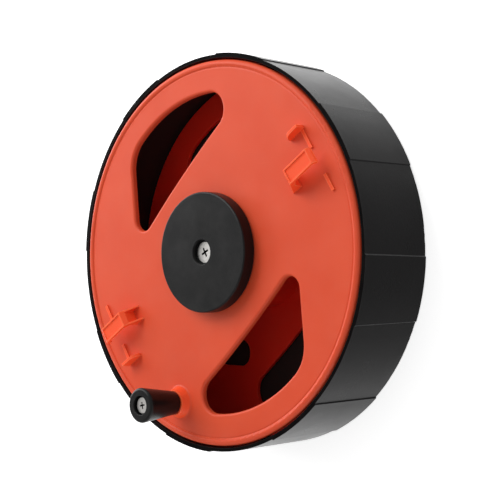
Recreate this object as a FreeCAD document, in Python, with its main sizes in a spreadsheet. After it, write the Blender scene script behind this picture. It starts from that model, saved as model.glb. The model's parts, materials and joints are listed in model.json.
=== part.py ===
import FreeCAD, Part
import Sketcher
import math
import os

# Hand-cranked tape reel: a black tub casing, an orange two-flanged reel that turns on a fixed
# axle inside it, and a tapered crank knob that turns on its own spindle near the reel's edge.
#
# The reel lies on its closed back: Z is the axle, Z = 0 is the plane that the back rests on, and
# +Z points to the crank side. Pieces on the axle are drawn where they are; the pieces of the
# knob and the anchor pin are drawn about their own axes and set in their places at the end.

DRIVING_SIZES = {
    # casing
    "casing_depth": 70.2,
    "panel_radius": 150.7,         # raised panels, at the open front
    "panel_step": 0.9,             # how far the panels stand out of the rim
    "rim_draft": 1.8,              # how much smaller the rim is at the back, inside and out
    "rim_inner_radius": 147.2,
    "panel_span": 18.3,            # degrees
    "panel_ramp": 0.45,            # degrees, the slope at each side of a panel
    "panel_first_angle": 34.5,     # degrees
    "back_relief": 2.0,            # depth of the hollows in the back
    "back_wall": 3.0,
    "back_ring_inner": 112.0,
    "back_pad_radius": 26.0,
    "back_rib_width": 4.0,
    "back_edge_round": 0.8,
    "axle_boss_radius": 20.0,
    "axle_boss_top": 16.0,
    "axle_socket_floor": 12.0,
    "nut_seat": 9.6,
    "plug_recess_radius": 10.2,
    "plug_recess_depth": 2.4,
    "seat_play": 0.03,             # radial play of the axle in its socket
    # tape mouth in the rim
    "mouth_angle": 192.0,          # degrees
    "mouth_width": 40.0,           # along the axle
    "mouth_gap": 10.0,             # round the rim
    "mouth_wall": 2.0,
    "mouth_lip": 2.5,
    "mouth_middle": 38.5,
    "mouth_inner_end": 143.6,
    "mouth_face": 150.1,
    "mouth_lip_thickness": 2.2,
    "mouth_round": 1.5,            # the opening's corners
    # axle
    "axle_radius": 8.0,
    "axle_bore_radius": 5.0,
    "axle_top": 72.9,
    "running_clearance": 0.05,
    # reel
    "flange_radius": 145.6,
    "flange_face": 70.6,
    "flange_back": 66.0,
    "bead_crown_radius": 142.2,
    "bead_height": 1.1,
    "bead_outer_round": 3.4,
    "bead_inner_round": 2.4,
    "bead_groove_depth": 0.3,
    "rear_flange_radius": 143.2,
    "rear_flange_front": 10.5,
    "rear_flange_thickness": 3.0,
    "rear_flange_hole": 24.0,
    "core_radius": 42.0,
    "core_wall": 3.0,
    "core_hub_radius": 15.0,
    "core_hub_bottom": 18.4,
    "core_rib_width": 3.0,
    "bush_radius": 11.0,
    "bush_head_radius": 14.0,
    "bush_head_height": 1.2,
    "bush_length": 13.0,
    "core_post_radius": 5.0,
    "core_post_circle": 34.5,
    "core_post_first_angle": 22.5,  # degrees
    "core_screw_radius": 2.0,
    "core_screw_depth": 16.0,
    "core_screw_head_radius": 4.0,
    "core_screw_head_height": 2.4,
    # windows, the same in both flanges
    "window_outer_radius": 121.8,
    "window_chord_distance": 65.6,
    "window_chord_direction": 134.3,   # degrees
    "window_chord_radius": 1000.0,     # the inner side bows out a little round the hub
    "window_side_distance": 85.2,
    "window_side_direction": 186.2,    # degrees
    "window_tip_round": 9.5,
    "window_side_round": 28.0,
    "window_end_round": 14.0,
    "window_lip_round": 2.2,
    "rear_window_lip": 0.3,
    # feed hole in the rear flange
    "feed_hole_x": -36.8,
    "feed_hole_y": -79.0,
    "feed_hole_length": 36.6,
    "feed_hole_width": 21.0,
    "feed_hole_round": 9.5,
    # tape anchor in the core
    "anchor_circle": 36.5,
    "anchor_post_radius": 4.5,
    "anchor_pin_radius": 2.0,
    "anchor_slot_width": 14.0,
    "anchor_slot_bottom": 25.0,
    "anchor_slot_top": 50.0,
    "anchor_pin_bottom": 11.0,
    "anchor_pin_top": 62.0,
    # tape clips on the front flange
    "clip_direction": 34.0,        # degrees
    "strap_width": 12.5,
    "strap_thickness": 2.5,
    "strap_root": 92.0,
    "strap_root_length": 10.0,
    "strap_shoulder": 103.0,
    "strap_end": 130.0,
    "strap_top": 84.3,
    "strap_lip_bottom": 79.2,
    "strap_shift": -6.5,
    "strap_border": 1.2,           # raised border round the strap's top
    "strap_recess": 0.9,
    "strap_web": 99.8,             # where the web between the gussets rises
    "fin_shift": 21.4,
    "fin_thickness": 2.2,
    "fin_start": 111.6,
    "fin_end": 127.4,
    "fin_top": 79.3,
    "rib_radius": 125.2,
    "rib_height": 1.5,
    "rib_thickness": 2.6,
    # hub cap and centre screw
    "cap_radius": 45.4,
    "cap_bottom": 71.8,
    "cap_top": 82.0,
    "cap_wall": 2.6,
    "cap_edge_round": 1.2,
    "cap_boss_radius": 16.0,
    "cap_recess_radius": 9.4,
    "centre_screw_radius": 4.0,
    "centre_screw_head_radius": 7.85,
    "centre_screw_face": 78.2,
    "centre_screw_tip": 3.0,
    "centre_cross_turn": 28.5,     # degrees
    # knob
    "knob_circle": 120.5,
    "knob_angle": 253.1,           # degrees
    "knob_base": 77.9,
    "knob_front": 111.8,
    "knob_base_radius": 9.0,
    "knob_front_radius": 13.2,
    "knob_edge_round": 2.2,
    "knob_recess_radius": 7.3,
    "knob_recess_floor": 104.4,
    "knob_boss_base_radius": 12.4,
    "knob_boss_radius": 9.6,
    "knob_boss_top": 77.5,
    "knob_seat": 73.2,
    "knob_nut_seat": 71.2,
    "spindle_radius": 5.0,
    "spindle_bore_radius": 3.3,
    "spindle_top": 104.8,
    "knob_screw_radius": 3.0,
    "knob_screw_head_radius": 5.9,
    "knob_screw_face": 109.3,
    "knob_screw_tip": 66.5,
    "knob_cross_turn": 12.0,       # degrees
}

PANELS = 8
BACK_RIBS = 8
CORE_RIBS = 4
CORE_POSTS = 4
WINDOW_BOW = 2.0             # how far a window's inner side bows out at its middle
HALF_TURNS = (0, 180)        # degrees; each flange has two windows, the front two sets of clips

doc = FreeCAD.newDocument("tape_reel")
Vector = FreeCAD.Vector


# ---------------------------------------------------------------- sizes and bindings

class Size:
    """A value of the design, with the sheet expression that it comes from."""

    def __init__(self, value, text):
        self.value = float(value)
        self.text = text

    def joined(self, sign, other, value):
        return Size(value, f"({self.text} {sign} {as_size(other).text})")

    def __add__(self, other):
        return self.joined("+", other, self.value + as_size(other).value)

    def __sub__(self, other):
        return self.joined("-", other, self.value - as_size(other).value)

    def __mul__(self, other):
        return self.joined("*", other, self.value * as_size(other).value)

    def __truediv__(self, other):
        return self.joined("/", other, self.value / as_size(other).value)

    def __neg__(self):
        return Size(-self.value, f"(0 - {self.text})")

    __radd__ = __add__
    __rmul__ = __mul__

    def __rsub__(self, other):
        return as_size(other) - self


def as_size(number):
    return number if isinstance(number, Size) else Size(number, f"({number:.9g})")


def cosine(degrees):
    angle = as_size(degrees)
    return Size(math.cos(math.radians(angle.value)), f"cos({angle.text} * 1 deg)")


def sine(degrees):
    angle = as_size(degrees)
    return Size(math.sin(math.radians(angle.value)), f"sin({angle.text} * 1 deg)")


def root(number):
    return Size(math.sqrt(number.value), f"sqrt({number.text})")


def make_sheet():
    sheet = doc.addObject("Spreadsheet::Sheet", "Dimensions")
    for row, (alias, value) in enumerate(DRIVING_SIZES.items(), start=1):
        sheet.set(f"A{row}", alias)
        sheet.set(f"B{row}", str(value))
        sheet.setAlias(f"B{row}", alias)
    doc.recompute()
    return sheet


class Sizes:
    """Every driving size by its alias, read back from the sheet."""

    def __init__(self, sheet):
        for alias in DRIVING_SIZES:
            setattr(self, alias, Size(getattr(sheet, alias), f"Dimensions.{alias}"))


d = Sizes(make_sheet())
bindings = []


def bind(thing, field, size):
    """Drives one property of an object from the sheet, and notes it for the last check."""
    size = as_size(size)
    thing.setExpression(field, size.text)
    bindings.append((thing, field, size.value))


# ---------------------------------------------------------------- sketches and features

def new_body(label):
    body = doc.addObject("PartDesign::Body", label)
    body.Label = label
    return body


def origin_plane(body, role):
    return next(item for item in body.Origin.OriginFeatures if item.Role == role)


def new_sketch(body, name, plane, level=0.0, offset=None):
    """An empty sketch on one of the body's own planes, raised by level along its normal."""
    sketch = body.newObject("Sketcher::SketchObject", name)
    sketch.AttachmentSupport = [(origin_plane(body, plane), "")]
    sketch.MapMode = "FlatFace"
    if offset is not None:
        sketch.AttachmentOffset = offset
    elif as_size(level).value != 0:
        bind(sketch, "AttachmentOffset.Base.z", level)
    return sketch


def turned_about_axle(degrees, shift=0.0):
    """Attachment offset that turns an XZ_Plane sketch about the axle, then shifts it sideways."""
    angle = math.radians(degrees)
    base = Vector(-shift * math.sin(angle), 0, -shift * math.cos(angle))
    return FreeCAD.Placement(base, FreeCAD.Rotation(Vector(0, 1, 0), degrees))


def constrain(sketch, kind, places, size, name):
    size = as_size(size)
    sketch.addConstraint(Sketcher.Constraint(kind, *places, size.value))
    sketch.renameConstraint(sketch.ConstraintCount - 1, name)
    bind(sketch, f"Constraints.{name}", size)


def pin_point(sketch, edge, end, corner, name):
    """Holds one end of an edge at a corner given as two sizes from the sketch's origin."""
    x, y = as_size(corner[0]), as_size(corner[1])
    if x.value == 0:
        sketch.addConstraint(Sketcher.Constraint("PointOnObject", edge, end, -2))
    else:
        constrain(sketch, "DistanceX", (-1, 1, edge, end), x, f"{name}_x")
    if y.value == 0:
        sketch.addConstraint(Sketcher.Constraint("PointOnObject", edge, end, -1))
    else:
        constrain(sketch, "DistanceY", (-1, 1, edge, end), y, f"{name}_y")


def arc_through(start, end, radius):
    """Arc from start to end; a positive radius turns left on the way, a negative one right."""
    middle = (start + end) * 0.5
    chord = end - start
    left = Vector(-chord.y, chord.x, 0).normalize()
    rise = math.sqrt(max(radius * radius - (chord.Length / 2) ** 2, 0.0))
    centre = middle + left * math.copysign(rise, radius)
    first, last = (start, end) if radius > 0 else (end, start)
    angles = [math.atan2(p.y - centre.y, p.x - centre.x) for p in (first, last)]
    if angles[1] < angles[0]:
        angles[1] += 2 * math.pi
    circle = Part.Circle(centre, Vector(0, 0, 1), abs(radius))
    return Part.ArcOfCircle(circle, angles[0], angles[1])


def draw_outline(sketch, corners, tag="corner"):
    """Draws a closed outline. A corner is (x, y), or (x, y, radius) where an arc follows it."""
    places = [Vector(as_size(c[0]).value, as_size(c[1]).value, 0) for c in corners]
    count = len(corners)
    first_edge = sketch.GeometryCount
    ends = []
    for i, corner in enumerate(corners):
        start, end = places[i], places[(i + 1) % count]
        if len(corner) == 3:
            radius = as_size(corner[2]).value
            sketch.addGeometry(arc_through(start, end, radius), False)
            ends.append((1, 2) if radius > 0 else (2, 1))
        else:
            sketch.addGeometry(Part.LineSegment(start, end), False)
            ends.append((1, 2))
    for i in range(count):
        after = (i + 1) % count
        joint = ("Coincident", first_edge + i, ends[i][1], first_edge + after, ends[after][0])
        sketch.addConstraint(Sketcher.Constraint(*joint))
    for i, corner in enumerate(corners):
        pin_point(sketch, first_edge + i, ends[i][0], corner, f"{tag}_{i}")
        if len(corner) == 3:
            radius = as_size(corner[2])
            if radius.value < 0:
                radius = -radius
            constrain(sketch, "Radius", (first_edge + i,), radius, f"{tag}_{i}_radius")


def draw_circle(sketch, centre, radius, name):
    place = Vector(as_size(centre[0]).value, as_size(centre[1]).value, 0)
    circle = Part.Circle(place, Vector(0, 0, 1), as_size(radius).value)
    edge = sketch.addGeometry(circle, False)
    pin_point(sketch, edge, 3, centre, name)
    constrain(sketch, "Radius", (edge,), radius, f"{name}_radius")


def draw_hexagon(sketch, centre, across_flats):
    corner_radius = as_size(across_flats) / (2 * math.cos(math.radians(30)))
    corners = []
    for k in range(6):
        x = corner_radius * math.cos(math.radians(60 * k)) + centre[0]
        y = corner_radius * math.sin(math.radians(60 * k)) + centre[1]
        corners.append((x, y))
    draw_outline(sketch, corners, "hexagon")


def draw_rounded_rectangle(sketch, middle, half_x, half_y, radius):
    left, right = middle[0] - half_x, middle[0] + half_x
    low, high = middle[1] - half_y, middle[1] + half_y
    draw_outline(sketch, [
        (left + radius, low),
        (right - radius, low, radius),
        (right, low + radius),
        (right, high - radius, radius),
        (right - radius, high),
        (left + radius, high, radius),
        (left, high - radius),
        (left, low + radius, radius),
    ])


def revolved(body, name, corners, cut=False):
    """Adds, or cuts away, the outline turned once about the body's Z axis."""
    sketch = new_sketch(body, f"{name}_outline", "XZ_Plane")
    draw_outline(sketch, corners)
    feature = body.newObject("PartDesign::Groove" if cut else "PartDesign::Revolution", name)
    feature.Profile = sketch
    feature.ReferenceAxis = (sketch, ["V_Axis"])
    feature.Angle = 360
    doc.recompute()
    return feature


def padded(body, name, sketch, length, taper=0.0, midplane=False, reverse=False):
    pad = body.newObject("PartDesign::Pad", name)
    pad.Profile = sketch
    pad.Type = "Length"
    bind(pad, "Length", length)
    pad.TaperAngle = taper
    pad.Midplane = midplane
    pad.Reversed = reverse
    doc.recompute()
    return pad


def pocketed(body, name, sketch, length, midplane=False, reverse=False):
    """Cuts the sketch out of the body and makes sure that something came away."""
    volume = body.Shape.Volume
    pocket = body.newObject("PartDesign::Pocket", name)
    pocket.Profile = sketch
    pocket.Type = "Length"
    bind(pocket, "Length", length)
    pocket.Midplane = midplane
    pocket.Reversed = reverse
    doc.recompute()
    if body.Shape.Volume > volume - 1e-3:
        raise RuntimeError(f"{name} in {body.Label} cuts nothing")
    return pocket


def polar_pattern(body, feature, count, axis_sketch):
    pattern = body.newObject("PartDesign::PolarPattern", f"{feature.Name}_pattern")
    pattern.Originals = [feature]
    pattern.Axis = (axis_sketch, ["N_Axis"])
    pattern.Angle = 360
    pattern.Occurrences = count
    body.Tip = pattern
    doc.recompute()
    return pattern


def filleted(body, name, radius, wanted):
    """Rounds the edges of the body's last feature that the test picks out."""
    base = body.Tip
    names = [f"Edge{i}" for i, edge in enumerate(base.Shape.Edges, start=1) if wanted(edge)]
    if not names:
        raise RuntimeError(f"{name} in {body.Label} finds no edge")
    fillet = body.newObject("PartDesign::Fillet", name)
    fillet.Base = (base, names)
    bind(fillet, "Radius", radius)
    doc.recompute()
    return fillet


def on_level(edge, level, tolerance=1e-3):
    """True for an edge that lies whole in one level plane."""
    box = edge.BoundBox
    return abs(box.ZMin - level) < tolerance and abs(box.ZMax - level) < tolerance


def is_ring(edge, radius, level):
    """True for a circle of this radius about the axle, at this level."""
    box = edge.BoundBox
    return on_level(edge, level) and abs(box.XMax - radius) < 1e-2 and abs(box.YMax - radius) < 1e-2


def is_upright(edge):
    box = edge.BoundBox
    return box.XLength < 1e-6 and box.YLength < 1e-6


# ---------------------------------------------------------------- the casing and its fittings

def back_radius(front_radius):
    return front_radius - d.rim_draft


def make_drum_casing():
    """Tub with a raised-panel rim, a ribbed back, the axle boss and the tape mouth."""
    body = new_body("drum_casing")
    rim_front = d.panel_radius - d.panel_step
    inner_floor = d.back_relief + d.back_wall
    revolved(body, "drum", [
        (d.axle_bore_radius, 0),
        (d.back_pad_radius, 0),
        (d.back_pad_radius, d.back_relief),
        (d.back_ring_inner, d.back_relief),
        (d.back_ring_inner, 0),
        (back_radius(rim_front) - d.back_edge_round, 0, d.back_edge_round),
        (back_radius(rim_front), d.back_edge_round),
        (rim_front, d.casing_depth),
        (d.axle_bore_radius, d.casing_depth),
    ])
    make_rim_panels(body)
    above = d.casing_depth + 1.0
    within = d.axle_bore_radius - 1.0
    revolved(body, "inside", [
        (within, d.axle_socket_floor),
        (d.axle_radius + d.seat_play, d.axle_socket_floor),
        (d.axle_radius + d.seat_play, d.axle_boss_top),
        (d.axle_boss_radius, d.axle_boss_top),
        (d.axle_boss_radius, inner_floor),
        (d.rim_inner_radius - d.rim_draft, inner_floor),
        (d.rim_inner_radius, d.casing_depth),
        (d.rim_inner_radius, above),
        (within, above),
    ], cut=True)
    make_back_ribs(body)
    make_nut_pocket(body)
    cut_tape_mouth(body)
    return body


def make_rim_panels(body):
    """Eight low panels round the rim, each with a short ramp at either side."""
    half = d.panel_span / 2
    foot = half + d.panel_ramp
    top_radius = back_radius(d.panel_radius)
    foot_radius = back_radius(d.panel_radius - d.panel_step) - 0.4
    root_radius = foot_radius - 0.8
    sketch = new_sketch(body, "panel_outline", "XY_Plane", d.back_edge_round)
    centre = d.panel_first_angle

    def polar(radius, angle):
        return radius * cosine(angle), radius * sine(angle)

    draw_outline(sketch, [
        (*polar(root_radius, centre - foot), root_radius),
        polar(root_radius, centre + foot),
        polar(foot_radius, centre + foot),
        (*polar(top_radius, centre + half), -top_radius),
        polar(top_radius, centre - half),
        polar(foot_radius, centre - foot),
    ])
    draft_angle = math.degrees(math.atan(d.rim_draft.value / d.casing_depth.value))
    length = d.casing_depth - d.back_edge_round
    panel = padded(body, "rim_panel", sketch, length, taper=draft_angle)
    polar_pattern(body, panel, PANELS, sketch)


def make_back_ribs(body):
    """Spokes between the centre pad and the rest ring, level with both."""
    sketch = new_sketch(body, "back_rib_outline", "XY_Plane")
    overlap = 1.0
    half = d.back_rib_width / 2
    draw_outline(sketch, [
        (d.back_pad_radius - overlap, -half),
        (d.back_ring_inner + overlap, -half),
        (d.back_ring_inner + overlap, half),
        (d.back_pad_radius - overlap, half),
    ])
    rib = padded(body, "back_rib", sketch, d.back_relief + overlap)
    polar_pattern(body, rib, BACK_RIBS, sketch)


def make_nut_pocket(body):
    """Recess for the plug in the back, and a hexagon seat for the nut above it."""
    recess = new_sketch(body, "plug_recess_outline", "XY_Plane")
    draw_circle(recess, (0, 0), d.plug_recess_radius, "recess")
    pocketed(body, "plug_recess", recess, d.plug_recess_depth, reverse=True)
    seat = new_sketch(body, "nut_pocket_outline", "XY_Plane")
    draw_hexagon(seat, (0, 0), CENTRE_NUT_FLATS + NUT_PLAY)
    pocketed(body, "nut_pocket", seat, d.nut_seat, reverse=True)


def mouth_plane(radius):
    """Offset of an XZ_Plane sketch that faces outward through the tape mouth at a radius."""
    degrees = d.mouth_angle.value + 90
    return turned_about_axle(degrees, -radius)


def mouth_rectangle(sketch, grow):
    """The mouth's opening, grown all round, with corners that grow with it."""
    draw_rounded_rectangle(sketch, (0, d.mouth_middle), d.mouth_gap / 2 + grow,
                           d.mouth_width / 2 + grow, d.mouth_round + grow)


def cut_tape_mouth(body):
    sketch = new_sketch(body, "mouth_outline", "XZ_Plane",
                        offset=mouth_plane(d.rim_inner_radius.value))
    mouth_rectangle(sketch, d.mouth_wall)
    pocketed(body, "mouth", sketch, 14.0, midplane=True)
    seat = new_sketch(body, "mouth_seat_outline", "XZ_Plane",
                      offset=mouth_plane(d.mouth_face.value))
    mouth_rectangle(seat, d.mouth_wall + d.mouth_lip + 0.1)
    pocketed(body, "mouth_seat", seat, d.mouth_lip_thickness * 2, midplane=True)


def make_tape_mouth():
    """Smooth guide frame that lines the slot where the tape leaves the casing."""
    body = new_body("tape_mouth")
    lip = new_sketch(body, "lip_outline", "XZ_Plane", offset=mouth_plane(d.mouth_face.value))
    mouth_rectangle(lip, d.mouth_wall + d.mouth_lip)
    padded(body, "lip", lip, d.mouth_lip_thickness, reverse=True)
    sleeve = new_sketch(body, "sleeve_outline", "XZ_Plane", offset=mouth_plane(d.mouth_face.value))
    mouth_rectangle(sleeve, d.mouth_wall)
    padded(body, "sleeve", sleeve, d.mouth_face - d.mouth_inner_end, reverse=True)
    opening = new_sketch(body, "opening_outline", "XZ_Plane",
                         offset=mouth_plane(d.mouth_face.value))
    mouth_rectangle(opening, 0)
    pocketed(body, "opening", opening, 30.0, midplane=True)
    return body


def make_axle_sleeve():
    """Fixed steel tube that the reel turns on, seated in the casing's boss."""
    body = new_body("axle_sleeve")
    chamfer = 0.6
    revolved(body, "tube", [
        (d.axle_bore_radius, d.axle_socket_floor),
        (d.axle_radius - chamfer, d.axle_socket_floor),
        (d.axle_radius, d.axle_socket_floor + chamfer),
        (d.axle_radius, d.axle_top - chamfer),
        (d.axle_radius - chamfer, d.axle_top),
        (d.axle_bore_radius, d.axle_top),
    ])
    return body


def make_hub_cap():
    """Shallow cap over the hub, clamped to the axle by the centre screw."""
    body = new_body("hub_cap")
    seat_radius = d.centre_screw_head_radius + HEAD_PLAY
    seat = d.centre_screw_face - SCREW_RIM + HEAD_PLAY - SEAT_GAP
    revolved(body, "shell", [
        (d.axle_bore_radius, d.axle_top),
        (d.cap_boss_radius, d.axle_top),
        (d.cap_boss_radius, d.cap_top - d.cap_wall),
        (d.cap_radius - d.cap_wall, d.cap_top - d.cap_wall),
        (d.cap_radius - d.cap_wall, d.cap_bottom),
        (d.cap_radius, d.cap_bottom),
        (d.cap_radius, d.cap_top - d.cap_edge_round, d.cap_edge_round),
        (d.cap_radius - d.cap_edge_round, d.cap_top),
        (d.cap_recess_radius, d.cap_top),
        (d.cap_recess_radius, seat),
        (seat_radius, seat),
        (d.axle_bore_radius, seat - seat_radius + d.axle_bore_radius),
    ])
    filleted(body, "recess_edge", 0.5,
             lambda e: is_ring(e, d.cap_recess_radius.value, d.cap_top.value))
    return body


def make_thrust_washer(label, bottom, top, outer_radius):
    body = new_body(label)
    inner_radius = d.axle_radius + 0.1
    revolved(body, "ring", [
        (inner_radius, bottom),
        (outer_radius, bottom),
        (outer_radius, top),
        (inner_radius, top),
    ])
    return body


# ---------------------------------------------------------------- fasteners

CENTRE_NUT_FLATS = 13.0
CENTRE_NUT_HEIGHT = 6.8
KNOB_NUT_FLATS = 10.0
KNOB_NUT_HEIGHT = 4.7
NUT_PLAY = 0.3
THREAD_PLAY = 0.05
HOLE_PLAY = 0.15
SCREW_RIM = 0.35       # height of a countersunk head's upright edge
HEAD_PLAY = 0.2        # round a countersunk head
SEAT_GAP = 0.02        # under a countersunk head


def make_countersunk_screw(label, tip, face, shank_radius, head_radius, cross_turn):
    """Countersunk machine screw with a cross recess, along the Z axis."""
    body = new_body(label)
    point = 0.8
    revolved(body, "blank", [
        (0, tip),
        (shank_radius - point, tip),
        (shank_radius, tip + point),
        (shank_radius, face - SCREW_RIM - head_radius + shank_radius),
        (head_radius, face - SCREW_RIM),
        (head_radius, face),
        (0, face),
    ])
    arm = head_radius * 0.46
    half = head_radius * 0.1
    quarter = [(arm, -half), (arm, half), (half, half)]
    corners = []
    for k in range(4):
        angle = cross_turn + 90 * k
        for x, y in quarter:
            corners.append((x * cosine(angle) - y * sine(angle),
                            x * sine(angle) + y * cosine(angle)))
    sketch = new_sketch(body, "cross_outline", "XY_Plane", face)
    draw_outline(sketch, corners)
    pocketed(body, "cross", sketch, head_radius * 0.36)
    return body


def make_nut(label, bottom, height, flats, thread_radius):
    """Plain hexagon nut."""
    body = new_body(label)
    sketch = new_sketch(body, "hexagon_outline", "XY_Plane", bottom)
    draw_hexagon(sketch, (0, 0), flats)
    padded(body, "hexagon", sketch, height)
    hole = new_sketch(body, "thread_outline", "XY_Plane", bottom)
    draw_circle(hole, (0, 0), thread_radius, "thread")
    pocketed(body, "thread", hole, height, reverse=True)
    return body


def make_flange_screws(label, face, head_shape):
    """Four identical self-tapping screws that hold a flange to the core, one solid each."""
    screws = []
    for k in range(CORE_POSTS):
        x, y = post_place(360 / CORE_POSTS * k)
        shank = doc.addObject("Part::Cylinder", f"{label}_shank_{k}")
        bind(shank, "Radius", d.core_screw_radius)
        bind(shank, "Height", d.core_screw_depth)
        head = doc.addObject(f"Part::{head_shape}", f"{label}_head_{k}")
        if head_shape == "Cone":       # countersunk, driven up from behind the flange
            shank_bottom = face
            bind(head, "Radius1", d.core_screw_head_radius)
            bind(head, "Radius2", d.core_screw_radius)
            bind(head, "Height", d.core_screw_head_radius - d.core_screw_radius)
        else:                          # flat cheese head, driven down from in front of it
            shank_bottom = face - d.core_screw_depth
            bind(head, "Radius", d.core_screw_head_radius)
            bind(head, "Height", d.core_screw_head_height)
        place_at(head, x, y, face)
        place_at(shank, x, y, shank_bottom)
        screw = doc.addObject("Part::MultiFuse", f"{label}_screw_{k}")
        screw.Shapes = [head, shank]
        screws.append(screw)
    group = doc.addObject("Part::Compound", label)
    group.Label = label
    group.Links = screws
    return group


def make_back_plug():
    """Push-in plug that covers the nut in the casing's back."""
    body = new_body("back_plug")
    radius = d.plug_recess_radius - 0.05
    top = d.plug_recess_depth - 0.1
    revolved(body, "disc", [
        (0, 0.3),
        (radius - 0.5, 0.3),
        (radius, 0.8),
        (radius, top),
        (0, top),
    ])
    return body


# ---------------------------------------------------------------- the reel

def line_crossing(direction_1, distance_1, direction_2, distance_2):
    """Where two lines meet, each given by its normal's direction and its distance out."""
    spread = sine(direction_2 - direction_1)
    x = (distance_1 * sine(direction_2) - distance_2 * sine(direction_1)) / spread
    y = (distance_2 * cosine(direction_1) - distance_1 * cosine(direction_2)) / spread
    return x, y


def circle_crossing(direction, distance, radius, side):
    """Where a line leaves a circle about the axle; side is 1 or -1, along the line."""
    half_chord = root(radius * radius - distance * distance) * side
    x = distance * cosine(direction) - half_chord * sine(direction)
    y = distance * sine(direction) + half_chord * cosine(direction)
    return x, y


def window_corners(turn):
    """The three corners of one crescent window: tip, far end, and outer side corner.

    The distance of the inner side is given at its middle; its ends lie a bow nearer the axle."""
    chord = d.window_chord_direction + turn
    side = d.window_side_direction + turn
    distance = d.window_chord_distance - WINDOW_BOW
    tip = line_crossing(chord, distance, side, d.window_side_distance)
    end = circle_crossing(chord, distance, d.window_outer_radius, -1)
    outer = circle_crossing(side, d.window_side_distance, d.window_outer_radius, -1)
    return tip, end, outer


def cut_windows(body, level, depth, lip_level, lip_round):
    """Cuts both crescent windows, rounds their corners, then softens the lip."""
    rounds = (d.window_tip_round, d.window_end_round, d.window_side_round)
    for turn in HALF_TURNS:
        tip, end, outer = window_corners(turn)
        sketch = new_sketch(body, f"window_outline_{turn}", "XY_Plane", level)
        draw_outline(sketch, [(*tip, -d.window_chord_radius), (*end, d.window_outer_radius), outer])
        pocketed(body, f"window_{turn}", sketch, depth + 2.0)
        for corner, radius in zip((tip, end, outer), rounds):
            x, y = corner[0].value, corner[1].value

            def at_corner(edge):
                middle = edge.BoundBox.Center
                return is_upright(edge) and math.hypot(middle.x - x, middle.y - y) < 1e-2

            filleted(body, f"window_corner_{turn}", radius, at_corner)

    chord = d.window_chord_distance.value - WINDOW_BOW
    outer_radius = d.window_outer_radius.value

    def on_window_lip(edge):
        if not on_level(edge, lip_level.value):
            return False
        ends = [math.hypot(v.X, v.Y) for v in edge.Vertexes]
        inside = chord - 0.5 < min(ends) and max(ends) < outer_radius + 0.5
        return inside and len(edge.Vertexes) == 2

    filleted(body, "window_lip", lip_round, on_window_lip)


def make_front_flange():
    """Orange disc with a rolled rim, two windows, tape clips and the knob's boss."""
    body = new_body("front_flange")
    crown = d.flange_face + d.bead_height
    rise = d.bead_height + d.bead_groove_depth
    below_crown = d.bead_inner_round - rise
    groove_run = root(d.bead_inner_round * d.bead_inner_round - below_crown * below_crown)
    groove_radius = d.bead_crown_radius - groove_run
    revolved(body, "disc", [
        (d.bush_radius, d.flange_back),
        (d.flange_radius - 1.0, d.flange_back),
        (d.flange_radius, d.flange_back + 1.0),
        (d.flange_radius, crown - d.bead_outer_round, d.bead_outer_round),
        (d.bead_crown_radius, crown, d.bead_inner_round),
        (groove_radius, d.flange_face - d.bead_groove_depth),
        (groove_radius - 1.2, d.flange_face),
        (d.bush_radius, d.flange_face),
    ])
    cut_windows(body, d.flange_face, d.flange_face - d.flange_back, d.flange_face,
                d.window_lip_round)
    holes = new_sketch(body, "screw_hole_outline", "XY_Plane", d.flange_face)
    draw_circle(holes, post_place(), d.core_screw_radius + HOLE_PLAY, "hole")
    hole = pocketed(body, "screw_hole", holes, 8.0)
    polar_pattern(body, hole, CORE_POSTS, holes)
    for turn in HALF_TURNS:
        add_clip_set(body, turn)
    add_knob_boss(body)
    return body


def add_clip_set(body, turn):
    """A springy arched strap, an upright fin and two low ribs that hold the tape's end."""
    direction = d.clip_direction.value + turn
    root_level = d.flange_face - 0.6
    strap = new_sketch(body, f"strap_outline_{turn}", "XZ_Plane",
                       offset=turned_about_axle(direction, d.strap_shift.value))
    bend = 3.2
    inner_bend = 1.2
    under = d.strap_top - d.strap_thickness
    draw_outline(strap, [
        (d.strap_root, root_level),
        (d.strap_root + d.strap_root_length, root_level),
        (d.strap_root + d.strap_root_length + 0.4, under - 4.0),
        (d.strap_shoulder + d.strap_thickness + inner_bend, under),
        (d.strap_end - d.strap_thickness - inner_bend, under, -inner_bend),
        (d.strap_end - d.strap_thickness, under - inner_bend),
        (d.strap_end - d.strap_thickness, d.strap_lip_bottom),
        (d.strap_end, d.strap_lip_bottom),
        (d.strap_end, d.strap_top - bend, bend),
        (d.strap_end - bend, d.strap_top),
        (d.strap_shoulder, d.strap_top),
    ])
    padded(body, f"strap_{turn}", strap, d.strap_width, midplane=True)
    cut_strap_top(body, turn, direction)

    fin = new_sketch(body, f"fin_outline_{turn}", "XZ_Plane",
                     offset=turned_about_axle(direction, d.fin_shift.value))
    sweep = 9.5
    draw_outline(fin, [
        (d.fin_start, root_level),
        (d.fin_end, root_level),
        (d.fin_end, d.fin_top),
        (d.fin_start + 7.0, d.fin_top, sweep),
        (d.fin_start, d.flange_face + 1.0),
    ])
    padded(body, f"fin_{turn}", fin, d.fin_thickness, midplane=True)

    half = d.rib_thickness / 2
    for side, (start, end) in enumerate(((4.0, 22.0), (-33.0, -19.0))):
        rib = new_sketch(body, f"rib_outline_{turn}_{side}", "XZ_Plane",
                         offset=turned_about_axle(direction, (start + end) / 2))
        draw_outline(rib, [
            (d.rib_radius - half, root_level),
            (d.rib_radius + half, root_level),
            (d.rib_radius + half, d.flange_face + d.rib_height),
            (d.rib_radius - half, d.flange_face + d.rib_height),
        ])
        padded(body, f"rib_{turn}_{side}", rib, end - start, midplane=True)


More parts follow.
